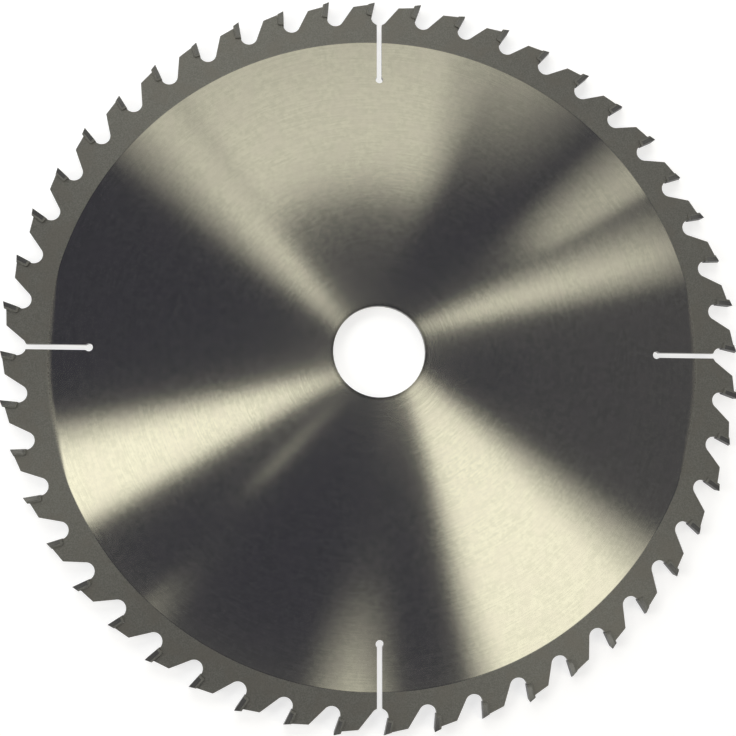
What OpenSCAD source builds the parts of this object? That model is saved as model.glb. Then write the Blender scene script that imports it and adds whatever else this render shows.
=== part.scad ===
// Carbide-tipped circular saw blade with alternate top bevel teeth.
// Millimetres. The blade lies flat: the bore is centred on the origin, +Z is its axis and the plate
// is centred on Z = 0. Seen from +Z the teeth point clockwise, so the blade turns clockwise.
//
// A tooth is drawn in the frame of the gullet in front of its cutting face: +Y runs outwards along the
// gullet's centre line and +X points the way the tooth moves.

/* [Blade] */
// Diameter of the circle that the highest tooth corners cut
blade_d = 240; // [200:1:300]
// Thickness of the steel plate
plate_t = 1.8; // [1.4:0.1:2.2]
// Width of the cut, across the widest part of a tip
kerf = 2.8; // [2.4:0.1:3.6]
// Diameter of the arbor bore
bore_d = 30; // [16:0.1:40]
// Number of teeth, even because the top bevels alternate
tooth_count = 48; // [24:2:56]

/* [Gullets] */
// Depth of a gullet below the cutting circle
gullet_depth = 8.5; // [7.5:0.1:11]
// Radius of a gullet's round root
gullet_r = 2.8; // [2.2:0.1:3.2]
// Slope of the next tooth's back, from the tangent
back_angle = 50; // [42:1:60]
// Depth of a tooth's land below the cutting circle, just behind the tip
land_drop = 1.25; // [0.9:0.05:1.6]
// Slope of the land towards the shoulder, from the tangent at the gullet
land_angle = 11; // [8:0.5:14]

/* [Carbide tips] */
// Distance of the cutting edge behind the gullet's centre line
edge_setback = 1.4; // [1:0.1:1.8]
// Forward lean of the cutting face
hook = 13; // [8:0.5:18]
// Fall of the tip's top behind the cutting edge
top_relief = 15; // [10:0.5:18]
// Alternating slope of the top across the kerf
top_bevel = 12; // [0:0.5:15]
// Length of the cutting face
tip_len = 5.4; // [4.6:0.1:6]
// Thickness of a tip behind its cutting face
tip_t = 2; // [1.6:0.1:2.4]
// Flat ground across a tip's inner back corner
tip_chamfer = 0.4; // [0.2:0.1:0.8]
// Narrowing of a tip's sides towards the bore
radial_clearance = 1.5; // [0.5:0.25:2]
// Narrowing of a tip's sides towards its back
side_clearance = 2.5; // [1:0.25:3]
// Braze film between a tip and its seat
braze_t = 0.05; // [0.02:0.01:0.15]

/* [Expansion slots] */
// Number of slots, each cut in from a gullet's root
slot_count = 4; // [2:1:8]
// Width of a slot
slot_w = 1.7; // [0.8:0.1:2.2]
// Length from the gullet's root to the middle of the end hole
slot_len = 19.3; // [10:0.1:30]
// Diameter of the round hole that ends a slot
slot_hole_d = 2.5; // [2.4:0.1:5]

/* [Hidden] */
$fn = 96;
pitch = 360 / tooth_count;
cut_r = blade_d / 2;
root_r = cut_r - gullet_depth;
// Height of the gullet's root circle on its centre line
gullet_y = root_r + gullet_r;
// Gullet walls lie this far inside the root circle, so that they cross it instead of only touching it
wall_lap = 0.02;
wall_r = gullet_r - wall_lap;
// Cutters pass the steel by this much, and a tip's blank has this much to grind off
stock = 2;
cutter_t = plate_t + 2 * stock;
top_y = cut_r + stock;
// Outer end of the cutting edge
edge = [-edge_setback, sqrt(cut_r * cut_r - edge_setback * edge_setback)];
edge_angle = asin(edge_setback / cut_r);
// Side of the blocks that grind a tip's faces, which reach well past the whole tip
grind = 4 * (tip_len + tip_t + kerf);

tips = [for (i = [0 : tooth_count - 1]) str("carbide_tip_", i < 9 ? "0" : "", i + 1)];

module gullet_frame(i) {
    rotate([0, 0, -i * pitch])
        children();
}

// Origin on the cutting edge, +X out of the cutting face and +Y up along it
module face_frame() {
    translate([edge.x, edge.y, 0])
        rotate([0, 0, edge_angle - hook])
            children();
}

// Side outline of a tip in its face frame, grown by the braze film for its seat
module tip_outline(film, front, top) {
    back = -tip_t - film;
    foot = -tip_len - film;
    polygon([
        [front, top],
        [front, foot],
        [back + tip_chamfer, foot],
        [back, foot + tip_chamfer],
        [back, top]
    ]);
}

// Open space in front of a tooth, up the back of the tooth ahead
module gullet_outline() {
    start = [wall_r * sin(back_angle), gullet_y - wall_r * cos(back_angle)];
    polygon([
        [-wall_r, gullet_y],
        [-wall_r, top_y],
        [start.x + (top_y - start.y) / tan(back_angle), top_y],
        start
    ]);
}

// What is taken off above a tooth's land, from the tip's seat back into the gullet behind the tooth
module land_outline() {
    front = -edge_setback - tip_t / 2;
    rear = -cut_r * sin(pitch);
    land_x = -edge_setback - tip_t;
    land_y = cut_r - land_drop;
    polygon([
        [front, land_y + (front - land_x) * tan(land_angle)],
        [front, top_y],
        [rear, top_y],
        [rear, land_y + (rear - land_x) * tan(land_angle)]
    ]);
}

module tooth_cut() {
    linear_extrude(height = cutter_t, center = true)
        land_outline();
    linear_extrude(height = cutter_t, center = true)
        gullet_outline();
    translate([0, gullet_y, 0])
        cylinder(r = gullet_r, h = cutter_t, center = true);
    face_frame()
        linear_extrude(height = cutter_t, center = true)
            tip_outline(braze_t, stock / 2, stock);
}

module slot_cut() {
    hole_y = root_r - slot_len;
    translate([-slot_w / 2, hole_y, -cutter_t / 2])
        cube([slot_w, gullet_y - hole_y, cutter_t]);
    translate([0, hole_y, 0])
        cylinder(d = slot_hole_d, h = cutter_t, center = true);
}

module blade_plate() {
    color([0.62, 0.62, 0.59])
        difference() {
            cylinder(d = blade_d, h = plate_t, center = true);
            cylinder(d = bore_d, h = cutter_t, center = true);
            for (i = [0 : tooth_count - 1])
                gullet_frame(i)
                    tooth_cut();
            for (k = [0 : slot_count - 1])
                gullet_frame(floor(k * tooth_count / slot_count))
                    slot_cut();
        }
}

// Half space above a tip's top: it falls to the back, and across the kerf away from the high corner
module top_grind(high_side) {
    translate([0, 0, high_side * kerf / 2])
        rotate([0, 0, hook + top_relief])
            rotate([-high_side * top_bevel, 0, 0])
                translate([-grind / 2, 0, -grind / 2])
                    cube(grind);
}

// Half space beside a tip: its side narrows towards the back and towards the bore
module side_grind() {
    translate([0, 0, kerf / 2])
        rotate([radial_clearance, -side_clearance, 0])
            translate([-grind / 2, -grind / 2, 0])
                cube(grind);
}

module carbide_tip(i) {
    high_side = i % 2 == 0 ? -1 : 1;
    color([0.36, 0.36, 0.36])
        gullet_frame(i)
            face_frame()
                difference() {
                    linear_extrude(height = kerf + 2 * stock, center = true)
                        tip_outline(0, 0, stock);
                    top_grind(high_side);
                    side_grind();
                    mirror([0, 0, 1])
                        side_grind();
                }
}

blade_plate();
for (i = [0 : tooth_count - 1])
    carbide_tip(i);
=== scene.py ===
import math

import bmesh
import bpy
from mathutils import Matrix, Vector


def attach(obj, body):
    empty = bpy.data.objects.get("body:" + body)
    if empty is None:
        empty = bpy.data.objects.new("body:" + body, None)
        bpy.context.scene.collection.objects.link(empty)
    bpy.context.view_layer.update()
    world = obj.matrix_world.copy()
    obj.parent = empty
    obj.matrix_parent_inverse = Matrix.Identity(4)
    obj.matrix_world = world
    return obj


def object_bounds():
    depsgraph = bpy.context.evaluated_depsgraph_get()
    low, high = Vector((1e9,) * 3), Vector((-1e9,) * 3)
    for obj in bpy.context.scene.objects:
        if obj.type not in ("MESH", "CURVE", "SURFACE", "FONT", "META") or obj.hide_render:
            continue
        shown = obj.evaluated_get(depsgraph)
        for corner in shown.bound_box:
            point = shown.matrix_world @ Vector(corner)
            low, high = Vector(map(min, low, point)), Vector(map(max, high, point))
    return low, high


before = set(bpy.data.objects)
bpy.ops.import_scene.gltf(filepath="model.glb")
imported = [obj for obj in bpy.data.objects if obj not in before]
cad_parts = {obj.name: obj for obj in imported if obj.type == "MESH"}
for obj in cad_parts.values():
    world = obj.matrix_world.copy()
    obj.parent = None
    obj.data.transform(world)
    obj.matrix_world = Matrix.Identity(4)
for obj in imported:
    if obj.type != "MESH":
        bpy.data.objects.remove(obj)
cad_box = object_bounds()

MM = 0.001

# The blade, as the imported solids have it
TOOTH_COUNT = 48
PITCH = 2 * math.pi / TOOTH_COUNT
CUT_R = 120 * MM
BORE_R = 15 * MM
PLATE_T = 1.8 * MM
EDGE_SETBACK = 1.4 * MM
HOOK = math.radians(13)
TIP_LEN = 5.4 * MM
TIP_T = 2.0 * MM
TIP_CHAMFER = 0.4 * MM
LAND_DROP = 1.25 * MM

# Values between which most of a noise lies
NOISE_SPAN = 0.3, 0.7
# Darkest and lightest colour of the blasted finish on the rim and the tips, and how metallic it is
BLASTED = (0.242, 0.24, 0.216, 1), (0.33, 0.327, 0.295, 1)
BLASTED_METAL = 0.75


class Bench:
    """One material's node tree, with short calls for the nodes that a finish is mixed from."""

    def __init__(self, name):
        self.material = bpy.data.materials.new(name)
        self.material.use_nodes = True
        self.tree = self.material.node_tree
        self.tree.nodes.clear()
        self.shader = self.add("ShaderNodeBsdfPrincipled")
        self.out = self.add("ShaderNodeOutputMaterial")
        self.tree.links.new(self.shader.outputs["BSDF"], self.out.inputs["Surface"])
        self.place = self.add("ShaderNodeTexCoord").outputs["Object"]

    def add(self, kind, **settings):
        made = self.tree.nodes.new(kind)
        for name, value in settings.items():
            setattr(made, name, value)
        return made

    def feed(self, socket, value):
        if isinstance(value, bpy.types.NodeSocket):
            self.tree.links.new(value, socket)
        else:
            socket.default_value = value

    def math(self, operation, *values):
        made = self.add("ShaderNodeMath", operation=operation)
        for socket, value in zip(made.inputs, values):
            self.feed(socket, value)
        return made.outputs[0]

    def vector(self, operation, *values, scale=None):
        made = self.add("ShaderNodeVectorMath", operation=operation)
        for socket, value in zip(made.inputs, values):
            self.feed(socket, value)
        if scale is not None:
            self.feed(made.inputs["Scale"], scale)
        return made.outputs["Value" if operation == "LENGTH" else "Vector"]

    def xyz(self, x, y, z):
        made = self.add("ShaderNodeCombineXYZ")
        for socket, value in zip(made.inputs, (x, y, z)):
            self.feed(socket, value)
        return made.outputs[0]

    def split(self, vector):
        made = self.add("ShaderNodeSeparateXYZ")
        self.feed(made.inputs[0], vector)
        return made.outputs

    def noise(self, vector, scale=1.0, detail=2.0):
        made = self.add("ShaderNodeTexNoise")
        for name, value in (("Vector", vector), ("Scale", scale), ("Detail", detail)):
            self.feed(made.inputs[name], value)
        return made.outputs[0]

    def ramp(self, value, low, high, to_low=0.0, to_high=1.0):
        """Smooth change from to_low at low to to_high at high."""
        made = self.add("ShaderNodeMapRange", interpolation_type="SMOOTHSTEP")
        ends = {"From Min": low, "From Max": high, "To Min": to_low, "To Max": to_high}
        self.feed(made.inputs["Value"], value)
        for name, number in ends.items():
            self.feed(made.inputs[name], number)
        return made.outputs[0]

    def mix(self, share, a, b):
        """From number a to number b. The node keeps other sockets for colours, under the same names."""
        made = self.add("ShaderNodeMix", data_type="FLOAT")
        for socket, value in zip((made.inputs[0], made.inputs[2], made.inputs[3]), (share, a, b)):
            self.feed(socket, value)
        return made.outputs[0]

    def blend(self, share, a, b):
        """From colour a to colour b."""
        made = self.add("ShaderNodeMix", data_type="RGBA")
        for socket, value in zip((made.inputs[0], made.inputs[6], made.inputs[7]), (share, a, b)):
            self.feed(socket, value)
        return made.outputs[2]

    def weigh(self, *pairs):
        """Sum of values, each with its weight."""
        total = 0.0
        for value, weight in pairs:
            total = self.math("MULTIPLY_ADD", value, weight, total)
        return total

    def bump(self, height, depth):
        made = self.add("ShaderNodeBump")
        self.feed(made.inputs["Height"], height)
        made.inputs["Strength"].default_value = 1.0
        made.inputs["Distance"].default_value = depth
        return made.outputs[0]

    def flatness(self):
        """1 on faces square to the bore's axis, 0 on upright walls."""
        normal = self.add("ShaderNodeNewGeometry").outputs["Normal"]
        return self.math("ABSOLUTE", self.split(normal)[2])

    def finish(self, **values):
        """Feed the shader's inputs, each by its own name in small letters."""
        for name, value in values.items():
            self.feed(self.shader.inputs[name.replace("_", " ").title()], value)
        return self.material


def round_the_bore(bench):
    """Radius, the direction away from the bore and the clockwise direction, at each point."""
    flat = bench.vector("MULTIPLY", bench.place, (1, 1, 0))
    radius = bench.vector("LENGTH", flat)
    outward = bench.vector("NORMALIZE", flat)
    clockwise = bench.vector("CROSS_PRODUCT", outward, (0, 0, 1))
    return radius, outward, clockwise


# Steps of the marks' noise per metre through the plate, so that its two faces differ
FACES_APART = 9000.0


def arcs(bench, radius, outward, width, reach):
    """Marks along circles round the bore, by their width and by their reach in radians."""
    height = bench.split(bench.place)[2]
    across = bench.weigh((radius, 1.0 / width), (height, FACES_APART))
    around = bench.vector("SCALE", outward, scale=1.0 / reach)
    return bench.noise(bench.vector("ADD", around, bench.xyz(0.0, 0.0, across)))


# The body is ground inside this radius, a little off the bore's centre, and blasted outside it. The
# colour and the finish change over these distances from it.
GROUND_R = 106 * MM
GROUND_CENTRE = (0.3 * MM, -0.75 * MM, 0)
COLOUR_EDGE = -0.22 * MM, 0.0
FINISH_EDGE = -0.05 * MM, 0.15 * MM
# At the two sides, centred this far below the level, the grinding runs out over this extra width. It
# starts to, and has done so in full, where the cosine of the angle from there has these values.
RUN_OUT = 2.6 * MM
RUN_OUT_TURN = math.radians(5)
RUN_OUT_SPAN = 0.94, 0.995


def ground_edge(bench, outward):
    """Where the ground body gives way to the blasted rim, by colour and by finish."""
    from_centre = bench.vector("SUBTRACT", bench.place, GROUND_CENTRE)
    radius = bench.vector("LENGTH", bench.vector("MULTIPLY", from_centre, (1, 1, 0)))
    sideways, upwards, _ = bench.split(outward)
    to_the_side = bench.weigh(
        (bench.math("ABSOLUTE", sideways), math.cos(RUN_OUT_TURN)),
        (upwards, -math.sin(RUN_OUT_TURN)),
    )
    run_out = bench.ramp(to_the_side, *RUN_OUT_SPAN, to_high=RUN_OUT)
    changes = []
    for inner, outer in (COLOUR_EDGE, FINISH_EDGE):
        start = bench.math("SUBTRACT", GROUND_R + inner, run_out)
        changes.append(bench.ramp(radius, start, GROUND_R + outer))
    return changes


# Flatness of a face at which it is all cut wall, and at which it is none
WALL_SPAN = 0.3, 0.7
# Darkest and lightest colour of the ground body and of the cut walls
GROUND_STEEL = (0.63, 0.615, 0.515, 1), (0.725, 0.705, 0.59, 1)
CUT_WALL = (0.2, 0.196, 0.187, 1), (0.31, 0.304, 0.286, 1)
# The body's tone is a mix of strokes, mottle and turned rings. The rings show most near the bore, and
# the mottle takes their place further out.
TONE_SPAN = 0.38, 0.62
STROKE_SHARE = 0.35
RING_FADE = 18 * MM, 50 * MM
RING_SHARE = 0.5, 0.15
# Warmer patches come in over these values of the cloud, up to this share
PATCH_SHARE = 0.5
GROUND_PATCH = (0.69, 0.655, 0.565, 1)
GROUND_PATCH_SPAN = 0.4, 0.65
BLASTED_PATCH = (0.287, 0.272, 0.238, 1)
BLASTED_PATCH_SPAN = 0.45, 0.65
# A painted shade ring round the bore, standing in for the reflections darkening at its edge, fades out
# between these radii
PAINTED_BORE_SHADE = (0.2, 0.195, 0.17, 1)
PAINTED_BORE_SHADE_SPAN = BORE_R + 0.2 * MM, BORE_R + 1.2 * MM
PAINTED_BORE_SHADE_SHARE = 0.55
# Least and greatest roughness of the ground body and of the blasted rim, and how far the plate's
# reflections are stretched across the marks
GROUND_ROUGH = 0.102, 0.108
BLASTED_ROUGH = 0.35, 0.42
GLOSS_STRETCH = 0.833
# The grinding marks leave the true circles by this sideways step, and each stroke strays by up to this
# angle in radians. The lay also leans along the bore's axis, so that the bore's wall has one too.
SWIRL = 6.5 * MM
STRAY = 0.003
WALL_LAY = 5 * MM
# Depth of a mark, and how many times deeper the blasting's pits are
MARK_DEPTH = 0.002 * MM
PIT_TIMES = 4.0


def plate_steel():
    """Tool steel plate: the body ground in circles, the rim blasted, the cut walls dull."""
    b = Bench("plate_steel")
    radius, outward, clockwise = round_the_bore(b)
    strokes = arcs(b, radius, outward, width=0.45 * MM, reach=0.07)
    rings = arcs(b, radius, outward, width=0.6 * MM, reach=1.2)
    mottle = b.noise(b.place, scale=650.0, detail=3.0)
    cloud = b.noise(b.place, scale=120.0)
    grit = b.noise(b.place, scale=2600.0)

    rim_colour, rim_finish = ground_edge(b, outward)
    wall = b.ramp(b.flatness(), *WALL_SPAN, to_low=1.0, to_high=0.0)
    dull = b.math("MAXIMUM", rim_finish, wall)

    ring_share = b.ramp(radius, *RING_FADE, *RING_SHARE)
    mottle_share = b.math("SUBTRACT", 1 - STROKE_SHARE, ring_share)
    texture = b.weigh((strokes, STROKE_SHARE), (mottle, mottle_share), (rings, ring_share))
    ground = b.blend(b.ramp(texture, *TONE_SPAN), *GROUND_STEEL)
    ground = b.blend(b.ramp(cloud, *GROUND_PATCH_SPAN, to_high=PATCH_SHARE), ground, GROUND_PATCH)
    # Painted shade: the ground colour is darkened in a thin ring at the bore's edge
    bore_shade = b.ramp(radius, *PAINTED_BORE_SHADE_SPAN, to_low=PAINTED_BORE_SHADE_SHARE, to_high=0.0)
    ground = b.blend(bore_shade, ground, PAINTED_BORE_SHADE)
    blasted = b.blend(b.ramp(grit, *NOISE_SPAN), *BLASTED)
    blasted = b.blend(b.ramp(cloud, *BLASTED_PATCH_SPAN, to_high=PATCH_SHARE), blasted, BLASTED_PATCH)
    cut = b.blend(b.ramp(grit, *NOISE_SPAN), *CUT_WALL)

    ground_rough = b.ramp(mottle, *NOISE_SPAN, *GROUND_ROUGH)
    blasted_rough = b.ramp(grit, *NOISE_SPAN, *BLASTED_ROUGH)

    stray = b.math("MULTIPLY", radius, b.ramp(strokes, *NOISE_SPAN, -STRAY, STRAY))
    swirl = b.vector("SCALE", clockwise, scale=b.math("ADD", stray, SWIRL))
    across_the_marks = b.vector("ADD", b.vector("SCALE", outward, scale=radius), swirl)
    across_the_marks = b.vector("NORMALIZE", b.vector("ADD", across_the_marks, (0, 0, WALL_LAY)))

    marks = b.math("MULTIPLY", strokes, b.math("SUBTRACT", 1.0, dull))
    pits = b.math("MULTIPLY", grit, b.math("MULTIPLY", dull, PIT_TIMES))
    return b.finish(
        base_color=b.blend(wall, b.blend(rim_colour, ground, blasted), cut),
        metallic=b.mix(dull, 1.0, BLASTED_METAL),
        roughness=b.mix(dull, ground_rough, blasted_rough),
        anisotropic=GLOSS_STRETCH,
        tangent=across_the_marks,
        normal=b.bump(b.math("ADD", marks, pits), MARK_DEPTH),
    )


def cutting_edge():
    """Place of the cutting edge and lean of the cutting face, in the frame of the gullet ahead."""
    place = Vector((-EDGE_SETBACK, math.sqrt(CUT_R**2 - EDGE_SETBACK**2), 0))
    return place, math.asin(EDGE_SETBACK / CUT_R) - HOOK


# A tooth's pitch is counted from this far ahead of its gullet's centre line
PITCH_AHEAD = 0.1 * PITCH


def on_a_tip(bench, radius):
    """How far a point lies ahead of its tip's cutting face, and how far up that face from the edge."""
    x, y, _ = bench.split(bench.place)
    clock = bench.math("ARCTAN2", x, y)
    from_gullet = bench.math("WRAP", clock, PITCH_AHEAD, PITCH_AHEAD - PITCH)
    edge, lean = cutting_edge()
    sideways = bench.math("MULTIPLY", radius, bench.math("SINE", from_gullet))
    sideways = bench.math("SUBTRACT", sideways, edge.x)
    outwards = bench.math("MULTIPLY", radius, bench.math("COSINE", from_gullet))
    outwards = bench.math("SUBTRACT", outwards, edge.y)
    ahead = bench.weigh((sideways, math.cos(lean)), (outwards, math.sin(lean)))
    up = bench.weigh((sideways, -math.sin(lean)), (outwards, math.cos(lean)))
    return ahead, up


# A tip's side is ground this far back from the cutting face and this far down from the cutting edge,
# with edges this soft to either side. The rest of it is blasted with the rim.
GROUND_BAND = 1.4 * MM
GROUND_BAND_EDGE = 0.2 * MM
GROUND_DEPTH = 4.7 * MM
GROUND_DEPTH_EDGE = 0.5 * MM
# A tip's sides shade as if they were turned back by this towards the plate's own plane, and fell away
# by this much at the two ends of the ground length
TIP_LEAN = math.radians(2.4)
TIP_CROWN = 0.06 * MM
# Flatness of a face at which it starts to be a tip's side, and at which it is one
SIDE_SPAN = 0.7, 0.95
# Darkest and lightest colour of a tip's ground sides and of its other faces, and how metallic they are
GROUND_CARBIDE = (0.15, 0.15, 0.146, 1), (0.215, 0.215, 0.21, 1)
GROUND_CARBIDE_METAL = 0.7
GROUND_CARBIDE_ROUGH = 0.15, 0.2
DULL_CARBIDE = (0.06, 0.06, 0.06, 1), (0.10, 0.10, 0.098, 1)
DULL_CARBIDE_METAL = 0.4
DULL_CARBIDE_ROUGH = 0.45
# Grinding lines of a tip: steps per radian across them, and per metre along them and through the tip
LINES_ACROSS = 1100.0
LINES_ALONG = 90.0
LINES_THROUGH = 300.0
LINE_DEPTH = 0.003 * MM
GRAIN_DEPTH = 0.001 * MM


def ground_carbide():
    """Cemented carbide: the sides ground by the cutting face and blasted behind it, the rest dull."""
    b = Bench("ground_carbide")
    radius, outward, _ = round_the_bore(b)
    height = b.split(b.place)[2]
    across = b.vector("SCALE", outward, scale=LINES_ACROSS)
    along = b.weigh((radius, LINES_ALONG), (height, LINES_THROUGH))
    lines = b.noise(b.vector("ADD", across, b.xyz(0.0, 0.0, along)))
    grain = b.noise(b.place, scale=5200.0)

    ahead, up = on_a_tip(b, radius)
    side = b.ramp(b.flatness(), *SIDE_SPAN)
    band = b.ramp(ahead, -GROUND_BAND - GROUND_BAND_EDGE, -GROUND_BAND + GROUND_BAND_EDGE)
    depth = b.ramp(up, -GROUND_DEPTH - GROUND_DEPTH_EDGE, -GROUND_DEPTH + GROUND_DEPTH_EDGE)
    ground = b.math("MULTIPLY", side, b.math("MULTIPLY", band, depth))

    bright = b.blend(b.ramp(lines, *NOISE_SPAN), *GROUND_CARBIDE)
    dark = b.blend(b.ramp(grain, *NOISE_SPAN), *DULL_CARBIDE)
    blasted = b.blend(b.ramp(grain, *NOISE_SPAN), *BLASTED)
    other_metal = b.mix(side, DULL_CARBIDE_METAL, BLASTED_METAL)
    ground_rough = b.ramp(lines, *NOISE_SPAN, *GROUND_CARBIDE_ROUGH)

    half_depth = GROUND_DEPTH / 2
    from_middle = b.math("DIVIDE", b.math("ADD", up, half_depth), half_depth)
    crown = b.math("MULTIPLY", from_middle, from_middle)
    relief = b.weigh(
        (crown, -TIP_CROWN),
        (ahead, -math.tan(TIP_LEAN)),
        (lines, LINE_DEPTH),
        (grain, GRAIN_DEPTH),
    )
    return b.finish(
        base_color=b.blend(ground, b.blend(side, dark, blasted), bright),
        metallic=b.mix(ground, other_metal, GROUND_CARBIDE_METAL),
        roughness=b.mix(ground, DULL_CARBIDE_ROUGH, ground_rough),
        normal=b.bump(relief, 1.0),
    )


# Darkest and lightest colour of the braze, how metallic and how rough it is, and its depth of texture
BRAZE = (0.26, 0.25, 0.215, 1), (0.36, 0.345, 0.29, 1)
BRAZE_LUMP_SPAN = 0.35, 0.65
BRAZE_METAL = 0.7
BRAZE_ROUGH = 0.45, 0.58
BRAZE_DEPTH = 0.01 * MM
BRAZE_GRIT_SHARE = 0.4


def braze_alloy():
    """Silver braze, squeezed out of the seats and blasted with the rim."""
    b = Bench("braze_alloy")
    lump = b.noise(b.place, scale=900.0, detail=3.0)
    grit = b.noise(b.place, scale=3800.0)
    return b.finish(
        base_color=b.blend(b.ramp(lump, *BRAZE_LUMP_SPAN), *BRAZE),
        metallic=BRAZE_METAL,
        roughness=b.ramp(grit, *NOISE_SPAN, *BRAZE_ROUGH),
        normal=b.bump(b.weigh((lump, 1.0), (grit, BRAZE_GRIT_SHARE)), BRAZE_DEPTH),
    )


def face_frame():
    """From a tip's own frame, with the cutting edge at its origin, to the first gullet's."""
    edge, lean = cutting_edge()
    return Matrix.Translation(edge) @ Matrix.Rotation(lean, 4, "Z")


# Height of a braze bead on the tip, its spread on the plate, and its hollow outline in shares of those
BEAD_RISE = 0.20 * MM
BEAD_SPREAD = 0.42 * MM
BEAD_SECTION = (0.0, 1.0), (0.22, 0.42), (0.55, 0.14), (1.0, 0.0), (0.0, 0.0)
# At its two ends a bead has this share of its size. It laps into the tip and is sunk into the plate.
BEAD_END_SIZE = 0.55
BEAD_LAP = 0.02 * MM
BEAD_SUNK = 0.01 * MM


def bead_route():
    """Points down a tip's back, round its corner and along its foot, in the tip's own frame."""
    back = -TIP_T
    foot = -TIP_LEN
    top = -LAND_DROP - 0.35 * MM
    upper_back = -LAND_DROP - 1.4 * MM
    lower_back = foot + 1.2 * MM
    middle_of_foot = back + 1.1 * MM
    front = -0.25 * MM
    route = [
        (back, top),
        (back, upper_back),
        (back, lower_back),
        (back, foot + TIP_CHAMFER),
        (back + TIP_CHAMFER, foot),
        (middle_of_foot, foot),
        (front, foot),
    ]
    return [Vector((x, y, 0)) for x, y in route]


def braze_bead():
    """One tooth's braze, as a hollow bead along the tip on each face of the plate."""
    points = bead_route()
    last = len(points) - 1
    to_gullet = face_frame()
    work = bmesh.new()
    for side in (1, -1):
        rings = []
        for i, at in enumerate(points):
            ahead = points[min(i + 1, last)] - points[max(i - 1, 0)]
            away = Vector((-ahead.y, ahead.x, 0)).normalized()
            size = BEAD_END_SIZE if i in (0, last) else 1.0
            ring = []
            for out, up in BEAD_SECTION:
                corner = at + away * (out * BEAD_SPREAD * size - BEAD_LAP)
                corner.z = side * (PLATE_T / 2 - BEAD_SUNK + up * BEAD_RISE * size)
                ring.append(work.verts.new(to_gullet @ corner))
            rings.append(ring)
        for a, c in zip(rings, rings[1:]):
            for j in range(len(BEAD_SECTION)):
                k = (j + 1) % len(BEAD_SECTION)
                work.faces.new((a[j], a[k], c[k], c[j]))
        work.faces.new(rings[0])
        work.faces.new(list(reversed(rings[-1])))
    bmesh.ops.recalc_face_normals(work, faces=work.faces)
    mesh = bpy.data.meshes.new("braze_bead")
    work.to_mesh(mesh)
    work.free()
    return bpy.data.objects.new("braze_beads", mesh)


# The beads' unevenness: the scale, detail and middle value of its noise, and its reach
UNEVEN_SCALE = 1400.0
UNEVEN_DETAIL = 1.0
UNEVEN_MIDDLE = (0.5, 0.5, 0.5)
UNEVENNESS = 0.09 * MM


def round_the_teeth(material):
    """Geometry nodes that repeat one tooth's braze for every tooth, and make each a little uneven."""
    tree = bpy.data.node_groups.new("round_the_teeth", "GeometryNodeTree")
    interface = tree.interface
    inputs = {"Bead": "NodeSocketGeometry", "Teeth": "NodeSocketInt", "Unevenness": "NodeSocketFloat"}
    sockets = {}
    for name, kind in inputs.items():
        sockets[name] = interface.new_socket(name, in_out="INPUT", socket_type=kind)
    interface.new_socket("Beads", in_out="OUTPUT", socket_type="NodeSocketGeometry")
    new = tree.nodes.new
    link = tree.links.new
    given = new("NodeGroupInput")
    result = new("NodeGroupOutput")

    teeth = new("GeometryNodePoints")
    link(given.outputs["Teeth"], teeth.inputs["Count"])
    step = new("ShaderNodeMath")
    step.operation = "DIVIDE"
    step.inputs[0].default_value = -2 * math.pi
    link(given.outputs["Teeth"], step.inputs[1])
    turn = new("ShaderNodeMath")
    turn.operation = "MULTIPLY"
    link(new("GeometryNodeInputIndex").outputs[0], turn.inputs[0])
    link(step.outputs[0], turn.inputs[1])
    spin = new("ShaderNodeCombineXYZ")
    link(turn.outputs[0], spin.inputs["Z"])
    place = new("GeometryNodeInstanceOnPoints")
    link(teeth.outputs[0], place.inputs["Points"])
    link(given.outputs["Bead"], place.inputs["Instance"])
    link(spin.outputs[0], place.inputs["Rotation"])
    real = new("GeometryNodeRealizeInstances")
    link(place.outputs[0], real.inputs[0])

    lumps = new("ShaderNodeTexNoise")
    lumps.inputs["Scale"].default_value = UNEVEN_SCALE
    lumps.inputs["Detail"].default_value = UNEVEN_DETAIL
    link(new("GeometryNodeInputPosition").outputs[0], lumps.inputs["Vector"])
    centred = new("ShaderNodeVectorMath")
    centred.operation = "SUBTRACT"
    centred.inputs[1].default_value = UNEVEN_MIDDLE
    link(lumps.outputs["Color"], centred.inputs[0])
    shift = new("ShaderNodeVectorMath")
    shift.operation = "SCALE"
    link(centred.outputs[0], shift.inputs[0])
    link(given.outputs["Unevenness"], shift.inputs["Scale"])
    uneven = new("GeometryNodeSetPosition")
    link(real.outputs[0], uneven.inputs["Geometry"])
    link(shift.outputs[0], uneven.inputs["Offset"])

    finish = new("GeometryNodeSetMaterial")
    finish.inputs["Material"].default_value = material
    link(uneven.outputs[0], finish.inputs[0])
    link(finish.outputs[0], result.inputs[0])
    return tree, sockets


def braze_beads(material):
    """The braze of all the teeth, as one plain mesh."""
    beads = braze_bead()
    bpy.context.scene.collection.objects.link(beads)
    tree, sockets = round_the_teeth(material)
    modifier = beads.modifiers.new("round_the_teeth", "NODES")
    modifier.node_group = tree
    modifier[sockets["Teeth"].identifier] = TOOTH_COUNT
    modifier[sockets["Unevenness"].identifier] = UNEVENNESS
    ready = beads.evaluated_get(bpy.context.evaluated_depsgraph_get())
    mesh = bpy.data.meshes.new_from_object(ready)
    beads.modifiers.remove(modifier)
    beads.data = mesh
    return beads


# How bright the studio's white looks by itself on the floor and at the top of its wall, and its paint,
# which shows the lamps and the shadow
WHITE_GLOW = 0.7
WALL_GLOW = 0.1
WHITE_PAINT = 0.42
# The studio in metres: its flat floor, the cove that curves up from it, and the top of its wall
FLOOR_R = 1.9
COVE_R = 0.5
SWEEP_TOP = 2.2
FLOOR_RINGS = 0.25, 0.8, FLOOR_R
SWEEP_PARTS = 96
COVE_PARTS = 10
# The floor lies this far under the blade's lowest tip
FLOOR_GAP = 0.02 * MM


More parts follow.
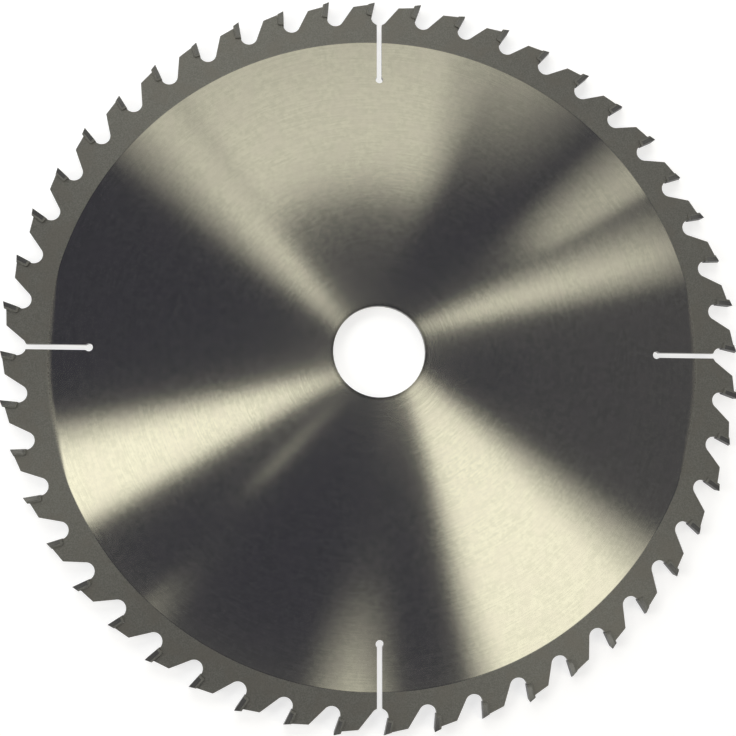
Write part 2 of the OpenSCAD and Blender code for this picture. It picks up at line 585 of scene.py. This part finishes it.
def studio_white():
    """White that the lamps light, and that also glows to the eye and in the metal, less up the wall.

    Seen from behind it isn't there."""
    material = bpy.data.materials.new("studio_white")
    material.use_nodes = True
    tree = material.node_tree
    tree.nodes.clear()
    new = tree.nodes.new
    link = tree.links.new
    path = new("ShaderNodeLightPath")
    seen = path.outputs["Is Camera Ray"]
    for kind in ("Is Glossy Ray", "Is Transmission Ray"):
        either = new("ShaderNodeMath")
        either.operation = "MAXIMUM"
        link(seen, either.inputs[0])
        link(path.outputs[kind], either.inputs[1])
        seen = either.outputs[0]
    geometry = new("ShaderNodeNewGeometry")
    spot = new("ShaderNodeSeparateXYZ")
    link(geometry.outputs["Position"], spot.inputs[0])
    fall = new("ShaderNodeMapRange")
    fall.inputs["From Max"].default_value = SWEEP_TOP
    fall.inputs["To Min"].default_value = WHITE_GLOW
    fall.inputs["To Max"].default_value = WALL_GLOW
    link(spot.outputs["Z"], fall.inputs["Value"])
    strength = new("ShaderNodeMath")
    strength.operation = "MULTIPLY"
    link(fall.outputs[0], strength.inputs[1])
    link(seen, strength.inputs[0])
    glow = new("ShaderNodeEmission")
    link(strength.outputs[0], glow.inputs["Strength"])
    paint = new("ShaderNodeBsdfDiffuse")
    paint.inputs["Color"].default_value = (WHITE_PAINT, WHITE_PAINT, WHITE_PAINT, 1)
    both = new("ShaderNodeAddShader")
    link(glow.outputs[0], both.inputs[0])
    link(paint.outputs[0], both.inputs[1])
    sides = new("ShaderNodeMixShader")
    link(geometry.outputs["Backfacing"], sides.inputs[0])
    link(both.outputs[0], sides.inputs[1])
    link(new("ShaderNodeBsdfTransparent").outputs[0], sides.inputs[2])
    link(sides.outputs[0], new("ShaderNodeOutputMaterial").inputs["Surface"])
    return material


def studio_sweep(ground):
    """Round floor that curves up into a wall."""
    profile = [(r, 0.0) for r in FLOOR_RINGS]
    for i in range(1, COVE_PARTS + 1):
        a = math.pi / 2 * i / COVE_PARTS
        profile.append((FLOOR_R + COVE_R * math.sin(a), COVE_R * (1 - math.cos(a))))
    profile.append((FLOOR_R + COVE_R, SWEEP_TOP))
    turns = [2 * math.pi * i / SWEEP_PARTS for i in range(SWEEP_PARTS)]
    work = bmesh.new()
    middle = work.verts.new((0, 0, ground))
    rings = []
    for r, z in profile:
        rings.append([work.verts.new((r * math.cos(a), r * math.sin(a), ground + z)) for a in turns])
    for i in range(SWEEP_PARTS):
        j = (i + 1) % SWEEP_PARTS
        work.faces.new((middle, rings[0][i], rings[0][j]))
        for a, c in zip(rings, rings[1:]):
            work.faces.new((a[i], c[i], c[j], a[j]))
    mesh = bpy.data.meshes.new("studio_sweep")
    work.to_mesh(mesh)
    work.free()
    mesh.shade_smooth()
    sweep = bpy.data.objects.new("studio_sweep", mesh)
    bpy.context.scene.collection.objects.link(sweep)
    mesh.materials.append(studio_white())


CAMERA_PLACE = Vector((-31.8, -49.8, 326.2)) * MM
# The picture's right-hand side, and the way back from the blade to the eye
CAMERA_RIGHT = Vector((0.9963, 0.0009, 0.0861))
CAMERA_BACK = Vector((-0.0852, -0.1345, 0.9872))
LENS = 50
SENSOR = 36
NEAREST = 0.01
FARTHEST = 50

# Light panels hang over the blade, as fans round the spot that the camera sees mirrored there. Each has
# its two edges by the clock at its near end and at its far end, how soft each edge is, the two ends in
# metres from that spot, and its brightness at the ends. A panel lights the ground body at about its own
# clock angle, and adds to what shines through it from behind.
LIGHT_PANELS = {
    "lower_right": ((123, 144.5), (128, 162), (12, 7), (0.03, 0.61), (1.2, 1.25)),
    "lower_left": ((236.5, 247), (239, 254.5), (3, 7), (0.03, 0.70), (1.25, 1.35)),
    "right": ((52, 65), (64.5, 73.5), (10, 7), (0.01, 0.52), (1.2, 0.64)),
    "upper_right": ((49.5, 58.5), (49.5, 58.5), (9, 1), (0.30, 0.58), (0.55, 0.55)),
    "top": ((-39.5, 17.5), (-39.5, 17.5), (6, 10), (0.26, 1.08), (0.88, 0.0)),
    "upper_left": ((303, 319), (311, 320), (11, 4), (0.02, 0.9), (0.92, 0.4)),
    "bottom": ((180, 189), (180, 189), (8, 8), (0.36, 0.62), (0.0, 1.1)),
    "streak": ((221, 223), (221, 223), (0.5, 0.5), (0.10, 0.26), (0.65, 0.7)),
    "right_fill": ((77, 123), (77, 123), (8, 4), (0.20, 1.08), (0.02, 0.06)),
    "top_right": ((19, 36), (19, 36), (6, 16), (0.32, 0.62), (0.0, 0.65)),
    "bottom_fill": ((161, 237), (161, 237), (8, 10), (0.48, 0.60), (0.0, 0.12)),
    "lower_left_spot": ((219, 223), (219, 223), (5, 0.5), (0.45, 0.60), (0.0, 0.6)),
    "bore_glint": ((167, 173), (167, 173), (4, 4), (0.05, 0.14), (0.14, 0.06)),
}
PANEL_COLOUR = (1.0, 0.985, 0.86)
# The panels hang one above the other from this height. Each is made of this many strips and steps, and
# its edges ease from their near clock angles to their far ones by this power.
PANEL_HEIGHT = 1.2
PANEL_STEP = 2 * MM
PANEL_STRIPS = 8
PANEL_LENGTHS = 8
PANEL_EASE = 3

WHITE_LAMP = (1.0, 0.99, 0.95)
WARM_LAMP = (1.0, 0.92, 0.73)
# Soft boxes stand low round the blade, and are kept out of its reflections. Each has its azimuth from
# +X, elevation, distance, width, height, brightness and colour.
SOFT_BOXES = {
    "key": (106, 26, 0.9, 1.2, 0.5, 5.0, WHITE_LAMP),
    "right": (332, 24, 1.3, 0.8, 0.5, 4.8, WARM_LAMP),
    "left": (180, 24, 1.4, 0.8, 0.5, 9.6, WHITE_LAMP),
}
ROOM_COLOUR = (0.72, 0.73, 1.0)
ROOM_LEVEL = 0.072


def panel_light():
    """Plain light whose strength is the panel's own brightness."""
    material = bpy.data.materials.new("panel_light")
    material.use_nodes = True
    tree = material.node_tree
    tree.nodes.clear()
    level = tree.nodes.new("ShaderNodeAttribute")
    level.attribute_name = "brightness"
    glow = tree.nodes.new("ShaderNodeEmission")
    glow.inputs["Color"].default_value = (*PANEL_COLOUR, 1)
    tree.links.new(level.outputs["Fac"], glow.inputs["Strength"])
    both = tree.nodes.new("ShaderNodeAddShader")
    tree.links.new(glow.outputs[0], both.inputs[0])
    tree.links.new(tree.nodes.new("ShaderNodeBsdfTransparent").outputs[0], both.inputs[1])
    out = tree.nodes.new("ShaderNodeOutputMaterial")
    tree.links.new(both.outputs[0], out.inputs["Surface"])
    material.cycles.emission_sampling = "FRONT"
    return material


def across_a_panel(edges, softness):
    """Clock angles across a panel, each with its share of the brightness: none outermost, all between."""
    first = edges[0] + softness[0] / 2
    last = edges[1] - softness[1] / 2
    lit = [(first + (last - first) * i / PANEL_STRIPS, 1.0) for i in range(PANEL_STRIPS + 1)]
    return [(edges[0] - softness[0] / 2, 0.0), *lit, (edges[1] + softness[1] / 2, 0.0)]


def light_panels():
    """All the light panels, as one mesh that the camera doesn't see."""
    mirrored = -CAMERA_PLACE * (PANEL_HEIGHT / CAMERA_PLACE.z)
    along = [i / PANEL_LENGTHS for i in range(PANEL_LENGTHS + 1)]
    work = bmesh.new()
    brightness = work.verts.layers.float.new("brightness")
    for number, panel in enumerate(LIGHT_PANELS.values()):
        near_edges, far_edges, softness, (near, far), (near_level, far_level) = panel
        height = PANEL_HEIGHT + number * PANEL_STEP
        rows = []
        pairs = zip(across_a_panel(near_edges, softness), across_a_panel(far_edges, softness))
        for (near_clock, share), (far_clock, _) in pairs:
            row = []
            for t in along:
                clock = far_clock - (far_clock - near_clock) * (1 - t) ** PANEL_EASE
                turn = math.radians(90 - clock)
                reach = near + (far - near) * t
                place = (mirrored.x + reach * math.cos(turn), mirrored.y + reach * math.sin(turn), height)
                corner = work.verts.new(place)
                corner[brightness] = share * (near_level + (far_level - near_level) * t)
                row.append(corner)
            rows.append(row)
        for a, c in zip(rows, rows[1:]):
            for j in range(PANEL_LENGTHS):
                work.faces.new((a[j], a[j + 1], c[j + 1], c[j]))
    work.normal_update()
    for face in work.faces:
        if face.normal.z > 0:
            face.normal_flip()
    mesh = bpy.data.meshes.new("light_panels")
    work.to_mesh(mesh)
    work.free()
    mesh.materials.append(panel_light())
    panels = bpy.data.objects.new("light_panels", mesh)
    panels.visible_camera = False
    bpy.context.scene.collection.objects.link(panels)


def soft_box(name, azimuth, elevation, distance, width, height, brightness, colour):
    """A rectangular lamp that faces the blade, with the power that gives its face that brightness."""
    az = math.radians(azimuth)
    el = math.radians(elevation)
    towards = Vector((math.cos(el) * math.cos(az), math.cos(el) * math.sin(az), math.sin(el)))
    around = Vector((-math.sin(az), math.cos(az), 0))
    lamp = bpy.data.lights.new("soft_box_" + name, "AREA")
    lamp.shape = "RECTANGLE"
    lamp.size = width
    lamp.size_y = height
    lamp.color = colour
    lamp.energy = brightness * math.pi * width * height
    box = bpy.data.objects.new("soft_box_" + name, lamp)
    facing = Matrix((around, towards.cross(around), towards)).transposed().to_4x4()
    box.matrix_world = Matrix.Translation(towards * distance) @ facing
    box.visible_glossy = False
    bpy.context.scene.collection.objects.link(box)


def dim_room():
    """The dim room round the studio, which the dark parts of the body mirror."""
    world = bpy.data.worlds.new("dim_room")
    world.use_nodes = True
    background = world.node_tree.nodes["Background"]
    background.inputs["Color"].default_value = (*ROOM_COLOUR, 1)
    background.inputs["Strength"].default_value = ROOM_LEVEL
    bpy.context.scene.world = world


def camera():
    """The camera, almost straight above the blade and a little tilted."""
    back = CAMERA_BACK.normalized()
    up = back.cross(CAMERA_RIGHT).normalized()
    right = up.cross(back)
    facing = Matrix((right, up, back)).transposed().to_4x4()
    lens = bpy.data.cameras.new("camera")
    lens.lens = LENS
    lens.sensor_width = SENSOR
    lens.clip_start = NEAREST
    lens.clip_end = FARTHEST
    made = bpy.data.objects.new("camera", lens)
    made.matrix_world = Matrix.Translation(CAMERA_PLACE) @ facing
    bpy.context.scene.collection.objects.link(made)
    bpy.context.scene.camera = made


bpy.context.scene.view_settings.view_transform = "Standard"
camera()

steel = plate_steel()
carbide = ground_carbide()
for name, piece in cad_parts.items():
    piece.data.materials.clear()
    piece.data.materials.append(steel if name == "blade_plate" else carbide)

beads = braze_beads(braze_alloy())
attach(beads, "root")

studio_sweep(cad_box[0].z - FLOOR_GAP)
light_panels()
for name, settings in SOFT_BOXES.items():
    soft_box(name, *settings)
dim_room()
